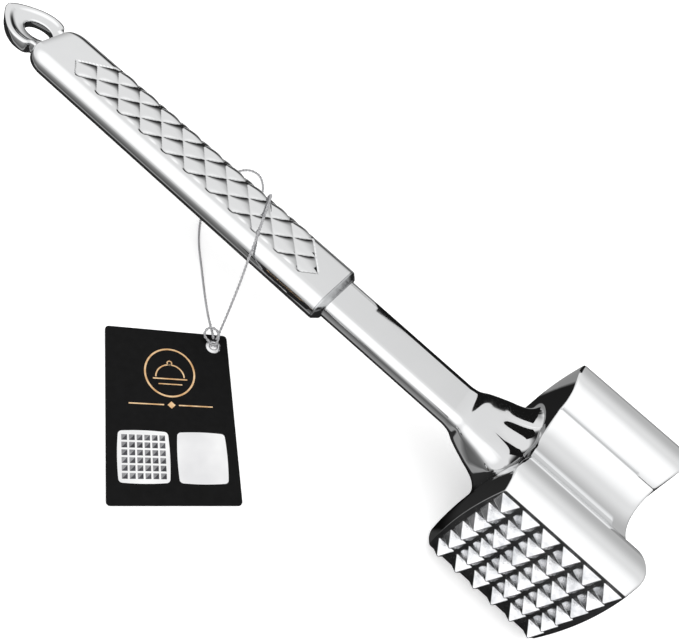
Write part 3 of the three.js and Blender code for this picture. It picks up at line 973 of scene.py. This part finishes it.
def card_material():
    """Black coated card with a very light tooth."""
    look = Nodes("card_black", Roughness=0.5)
    look.shader.inputs["Specular IOR Level"].default_value = 0.12
    fibres = look.noise(500.0, 5.0)
    look.link(
        look.ramp(fibres, [(0.3, (0.0015, 0.0015, 0.0016)), (0.7, (0.0035, 0.0035, 0.0037))]),
        look.shader.inputs["Base Color"],
    )
    look.link(look.bump(fibres, 0.1, 0.0001), look.shader.inputs["Normal"])
    return look.material


def ink_material(name, low, high, scale=350.0):
    look = Nodes(name, Roughness=0.6)
    look.shader.inputs["Specular IOR Level"].default_value = 0.2
    cloud = look.noise(scale, 3.0)
    look.link(look.ramp(cloud, [(0.35, low), (0.65, high)]), look.shader.inputs["Base Color"])
    return look.material


def cord_material():
    """Grey elastic thread, with fibres that follow the twist."""
    look = Nodes("cord_thread", Roughness=0.6)
    fibres = look.noise(2600.0, 4.0)
    look.link(
        look.ramp(fibres, [(0.3, (0.2, 0.2, 0.21)), (0.7, (0.55, 0.55, 0.56))]),
        look.shader.inputs["Base Color"],
    )
    look.link(look.bump(fibres, 0.5, 0.0002), look.shader.inputs["Normal"])
    return look.material


def finish_piece(piece, body, materials, slot, *nodes):
    """Gives a piece its materials and its body, and hides the CAD nodes that it stands for; slot is not
    used.
    """
    for material in materials:
        piece.data.materials.append(material)
    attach(piece, body)
    if nodes:
        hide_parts(*nodes)


# ---- Studio ------------------------------------------------------------------------------------

FLOOR_REACH = 3.0


def make_floor():
    """A pale floor at the height that the head and the tag lie on."""
    mesh = bpy.data.meshes.new("floor")
    height = MIDDLE.z + SURFACE_Z * MM
    corners = [(-1, -1), (1, -1), (1, 1), (-1, 1)]
    places = [(x * FLOOR_REACH, y * FLOOR_REACH, height) for x, y in corners]
    mesh.from_pydata(places, [], [(0, 1, 2, 3)])
    floor = bpy.data.objects.new("floor", mesh)
    bpy.context.scene.collection.objects.link(floor)
    look = Nodes("floor_paper", Roughness=0.9)
    look.shader.inputs["Specular IOR Level"].default_value = 0.0
    look.shader.inputs["Emission Color"].default_value = (1.0, 1.0, 1.0, 1.0)
    look.shader.inputs["Emission Strength"].default_value = 0.4
    cloud = look.noise(3.0)
    look.link(
        look.ramp(cloud, [(0.3, (0.94, 0.94, 0.94)), (0.7, (0.95, 0.95, 0.95))]),
        look.shader.inputs["Base Color"],
    )
    mesh.materials.append(look.material)
    floor.visible_glossy = False


# What the chrome sees on the surface round the mallet: places along Y from the middle line and
# brightness there. It is dark under the mallet, a painted shadow, with a lighter strip in front,
# and grows lighter further out.
FLOOR_TONES_PAINTED_SHADOW = [
    (-2000.0, 0.85), (-400.0, 0.8), (-145.0, 0.7), (-100.0, 0.5), (-75.0, 0.36), (-52.0, 0.25),
    (-38.0, 0.18), (-31.0, 0.12), (-29.5, 0.35), (-25.0, 0.35), (-23.5, 0.03), (55.0, 0.015),
    (60.0, 0.3), (100.0, 0.3), (400.0, 0.4), (2000.0, 0.6),
]
TONE_SPREAD = 60.0
# The surface in front of the head is darker: X where that starts, X where it is full, and its share
HEAD_SHADE = (-36.0, -25.0, 0.12)
CARD_DEPTH = 0.1                      # how far below the surface its reflected tones lie
# The studio as the light and as reflections see it, and the round areas in it that differ:
# brightness, azimuth, elevation, and the angles from its middle at which an area is full and gone
WHITE_LIGHT = 1.12
STUDIO_TONE = 0.93
STUDIO_AREAS = [
    (0.55, 72.0, -4.0, 0.0, 66.0),
    (1.3, -100.0, 50.0, 32.0, 62.0),
    (0.02, 116.0, 3.0, 14.0, 34.0),
]
# A black card behind the mallet: its place along Y, and the points of its top edge in X and Z
WALL_TONE = 0.01
WALL_Y = 100.0
WALL_TOP = [(-88.0, 103.0), (-62.0, 99.5), (-14.0, 96.0)]


def tone_place(y):
    """Where a place along Y falls in the tone ramp, which gives near places more room."""
    return 0.5 + 0.5 * y / (abs(y) + TONE_SPREAD)


def studio_card(name, corners, material):
    """A studio card that only reflections see."""
    mesh = bpy.data.meshes.new(name)
    mesh.from_pydata(to_row(corners).tolist(), [], [tuple(range(len(corners)))])
    mesh.materials.append(material)
    board = bpy.data.objects.new(name, mesh)
    bpy.context.scene.collection.objects.link(board)
    board.visible_camera = False
    board.visible_diffuse = False
    board.visible_transmission = False
    board.visible_shadow = False


def glow(name):
    """An emitting card's material, its node tree, and its colour and strength sockets."""
    material = bpy.data.materials.new(name)
    material.use_nodes = True
    tree = material.node_tree
    tree.nodes.clear()
    emission = tree.nodes.new("ShaderNodeEmission")
    output = tree.nodes.new("ShaderNodeOutputMaterial")
    tree.links.new(emission.outputs["Emission"], output.inputs["Surface"])
    return material, tree, emission.inputs["Color"], emission.inputs["Strength"]


def math_node(tree, operation, *values):
    node = tree.nodes.new("ShaderNodeMath")
    node.operation = operation
    for socket, value in zip(node.inputs, values):
        if isinstance(value, (int, float)):
            socket.default_value = value
        else:
            tree.links.new(value, socket)
    return node.outputs["Value"]


def make_cards():
    """What reflections see: the toned surface below the mallet, with a painted shadow under the mallet,
    and the black card behind it.
    """
    material, tree, colour, strength = glow("floor_tones_painted_shadow")
    place = tree.nodes.new("ShaderNodeTexCoord").outputs["Object"]
    split = tree.nodes.new("ShaderNodeSeparateXYZ")
    tree.links.new(place, split.inputs["Vector"])
    y = math_node(tree, "SUBTRACT", split.outputs["Y"], MIDDLE.y)
    spread = math_node(tree, "ADD", math_node(tree, "ABSOLUTE", y), TONE_SPREAD * MM)
    share = math_node(tree, "DIVIDE", y, spread)
    along = math_node(tree, "ADD", math_node(tree, "MULTIPLY", share, 0.5), 0.5)
    # The ramp's dark stretch under the mallet is a painted shadow in the surface that reflections see.
    ramp = tree.nodes.new("ShaderNodeValToRGB")
    elements = ramp.color_ramp.elements
    while len(elements) < len(FLOOR_TONES_PAINTED_SHADOW):
        elements.new(0.5)
    for element, (tone_y, tone) in zip(elements, FLOOR_TONES_PAINTED_SHADOW):
        element.position = tone_place(tone_y)
        element.color = (tone, tone, tone, 1.0)
    tree.links.new(along, ramp.inputs["Fac"])
    start, end, shade = HEAD_SHADE
    head = tree.nodes.new("ShaderNodeMapRange")
    head.interpolation_type = "SMOOTHSTEP"
    head.inputs["From Min"].default_value = MIDDLE.x + start * MM
    head.inputs["From Max"].default_value = MIDDLE.x + end * MM
    head.inputs["To Max"].default_value = shade - 1.0
    tree.links.new(split.outputs["X"], head.inputs["Value"])
    front = math_node(tree, "LESS_THAN", y, 0.0)
    shading = math_node(tree, "MULTIPLY_ADD", head.outputs["Result"], front, 1.0)
    tree.links.new(ramp.outputs["Color"], colour)
    tree.links.new(shading, strength)
    low = SURFACE_Z - CARD_DEPTH
    reach = FLOOR_REACH / MM
    corners = [(-reach, -reach, low), (reach, -reach, low), (reach, reach, low), (-reach, reach, low)]
    studio_card("floor_card", corners, material)
    black, _, black_colour, _ = glow("black_card_tone")
    black_colour.default_value = (WALL_TONE, WALL_TONE, WALL_TONE, 1.0)
    foot = [(x, WALL_Y, low) for x, _ in WALL_TOP]
    top = [(x, WALL_Y, z) for x, z in WALL_TOP]
    studio_card("wall_card", foot + top[::-1], black)


def make_world():
    """White for the camera and the light; what reflections see has brighter and darker soft areas."""
    world = bpy.data.worlds.new("studio")
    world.use_nodes = True
    tree = world.node_tree
    background = tree.nodes["Background"]
    direction = tree.nodes.new("ShaderNodeTexCoord").outputs["Generated"]
    tone = STUDIO_TONE
    for value, azimuth, elevation, inner, outer in STUDIO_AREAS:
        turn, lift = math.radians(azimuth), math.radians(elevation)
        toward = tree.nodes.new("ShaderNodeVectorMath")
        toward.operation = "DOT_PRODUCT"
        toward.inputs[1].default_value = (
            math.cos(lift) * math.cos(turn), math.cos(lift) * math.sin(turn), math.sin(lift),
        )
        tree.links.new(direction, toward.inputs[0])
        edge = tree.nodes.new("ShaderNodeMapRange")
        edge.interpolation_type = "SMOOTHSTEP"
        edge.inputs["From Min"].default_value = math.cos(math.radians(outer))
        edge.inputs["From Max"].default_value = math.cos(math.radians(inner))
        tree.links.new(toward.outputs["Value"], edge.inputs["Value"])
        share = edge.outputs["Result"]
        rest = math_node(tree, "MULTIPLY", math_node(tree, "SUBTRACT", 1.0, share), tone)
        tone = math_node(tree, "MULTIPLY_ADD", share, value, rest)
    glossy = tree.nodes.new("ShaderNodeLightPath").outputs["Is Glossy Ray"]
    plain = math_node(tree, "SUBTRACT", 1.0, glossy)
    light = math_node(tree, "MULTIPLY", plain, WHITE_LIGHT)
    strength = math_node(tree, "MULTIPLY_ADD", glossy, tone, light)
    tree.links.new(strength, background.inputs["Strength"])
    background.inputs["Color"].default_value = (1.0, 1.0, 1.0, 1.0)
    bpy.context.scene.world = world
    bpy.context.scene.view_settings.view_transform = "Standard"


# ---- The object --------------------------------------------------------------------------------

make_camera()
cord, cord_line = make_cord()
hitch = make_hitch()
thread = cord_material()
finish_piece(cord, "mallet", [thread], "cord_fibre", "tag_cord")
finish_piece(hitch, "mallet", [thread], "cord_fibre", "cord_knot")

chrome = chrome_material("chrome", (0.8, 0.805, 0.81), 0.03, 0.02)
casting = make_casting()
finish_piece(casting, "mallet", [chrome, pyramid_material()], "chrome", "head_casting")
for name, side, node in (("grip_upper", 1, "grip_shell_upper"), ("grip_lower", -1, "grip_shell_lower")):
    finish_piece(make_shell(name, side), "mallet", [chrome], "chrome", node)
collar_steel = satin_material("collar_steel", (0.62, 0.63, 0.64), 0.16)
finish_piece(make_collar(), "mallet", [collar_steel], "satin_steel", "front_collar")
finish_piece(make_loop(), "mallet", [chrome], "chrome", "hanging_loop")

card = make_card()
finish_piece(card, "tag", [card_material()], "black_card", "tag_card")
eyelet_steel = satin_material("eyelet_plate", (0.75, 0.75, 0.76), 0.18)
finish_piece(make_eyelet(), "tag", [eyelet_steel], "eyelet_steel", "tag_eyelet")
gold = ink_material("gold_ink", (0.62, 0.36, 0.16), (0.85, 0.6, 0.35))
white = ink_material("white_ink", (0.74, 0.74, 0.75), (0.9, 0.9, 0.9), 60.0)
grey = ink_material("grey_ink", (0.2, 0.2, 0.21), (0.34, 0.34, 0.35))
dark = ink_material("dark_ink", (0.04, 0.04, 0.045), (0.09, 0.09, 0.1))
finish_piece(make_emblem(), "tag", [gold], "black_card")
for mark, ink in zip(make_icons(), (white, white, grey, dark)):
    finish_piece(mark, "tag", [ink], "black_card")

zinc = satin_material("zinc_plate", (0.62, 0.63, 0.65), 0.35)
plastic = plastic_material()
for node, material in (
    ("tang_rod", zinc), ("lock_nut", zinc), ("front_spacer", plastic), ("rear_spacer", plastic),
):
    for material_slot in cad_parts[node].material_slots:
        material_slot.material = material

make_floor()
make_cards()
make_world()
